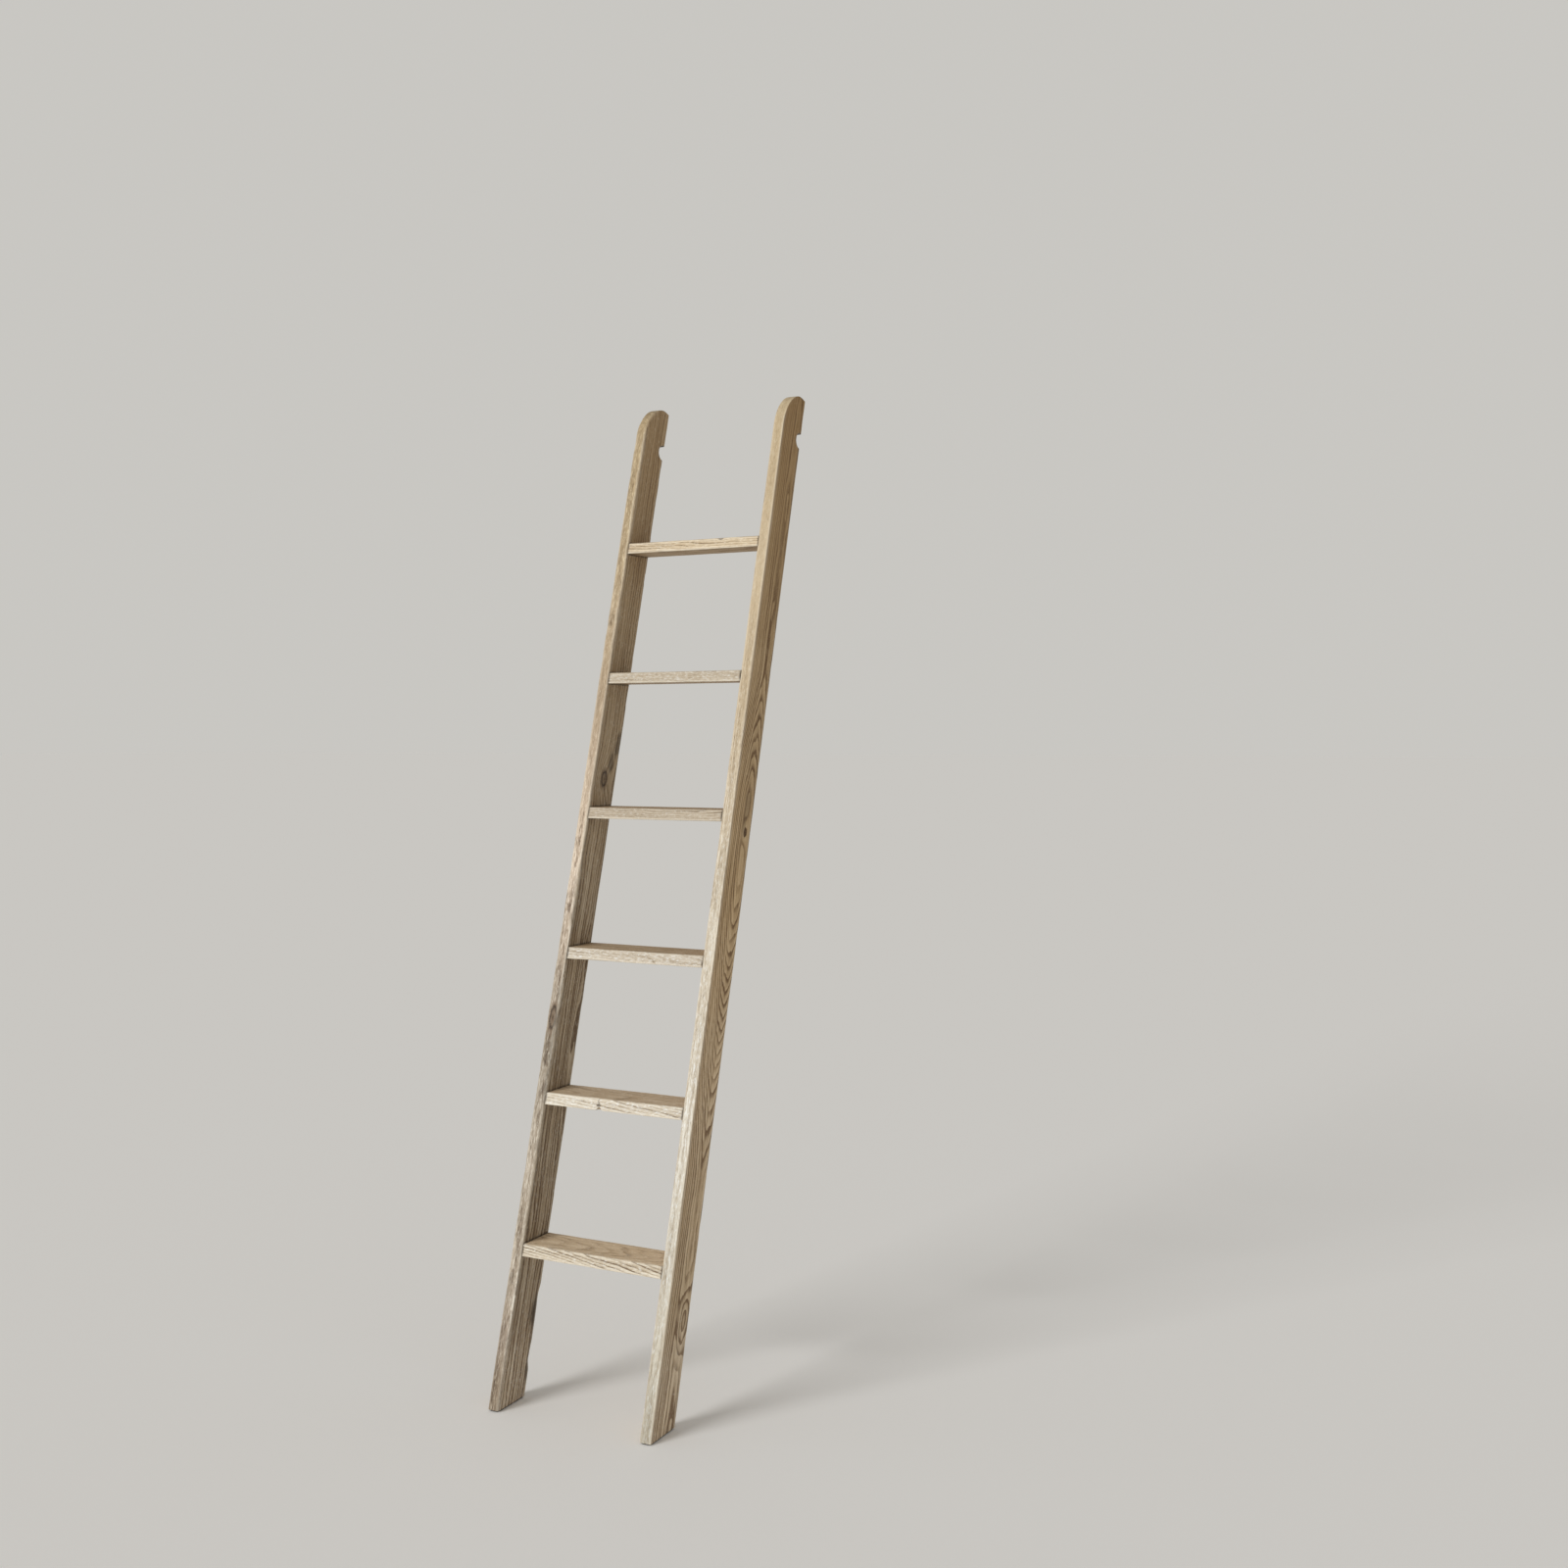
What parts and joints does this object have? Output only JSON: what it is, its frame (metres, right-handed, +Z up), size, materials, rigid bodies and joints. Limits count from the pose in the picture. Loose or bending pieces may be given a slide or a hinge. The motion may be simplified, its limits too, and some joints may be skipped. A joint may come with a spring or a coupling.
{
  "type": "library ladder",
  "caption": "Leaning timber library ladder: two stiles with rail notches in their back edges, level treads cut flush with the stiles, blind dowel joints and thin foot pads.",
  "frame": {"origin": "on the floor, under the middle of the ladder's bounding box", "axes": "+Z up; +X across the treads, to the right of someone climbing; +Y towards the bookcase, the way the ladder leans"},
  "size_m": [0.361, 0.646, 2.01],
  "materials": {
    "stile_oak": "weathered limed oak, open grain, matt oil",
    "tread_oak": "weathered limed oak, open grain, matt oil",
    "dowel_beech": "plain turned beech, glued in",
    "pad_rubber": "matt dark rubber"
  },
  "bodies": {
    "root": {"left_stile": "stile_oak", "left_foot_pad": "pad_rubber", "right_stile": "stile_oak", "right_foot_pad": "pad_rubber", "tread_1": "tread_oak", "tread_2": "tread_oak", "tread_3": "tread_oak", "tread_4": "tread_oak", "tread_5": "tread_oak", "tread_6": "tread_oak", "dowel_1_left_front": "dowel_beech", "dowel_1_left_back": "dowel_beech", "dowel_1_right_front": "dowel_beech", "dowel_1_right_back": "dowel_beech", "dowel_2_left_front": "dowel_beech", "dowel_2_left_back": "dowel_beech", "dowel_2_right_front": "dowel_beech", "dowel_2_right_back": "dowel_beech", "dowel_3_left_front": "dowel_beech", "dowel_3_left_back": "dowel_beech", "dowel_3_right_front": "dowel_beech", "dowel_3_right_back": "dowel_beech", "dowel_4_left_front": "dowel_beech", "dowel_4_left_back": "dowel_beech", "dowel_4_right_front": "dowel_beech", "dowel_4_right_back": "dowel_beech", "dowel_5_left_front": "dowel_beech", "dowel_5_left_back": "dowel_beech", "dowel_5_right_front": "dowel_beech", "dowel_5_right_back": "dowel_beech", "dowel_6_left_front": "dowel_beech", "dowel_6_left_back": "dowel_beech", "dowel_6_right_front": "dowel_beech", "dowel_6_right_back": "dowel_beech"}
  },
  "joints": []
}
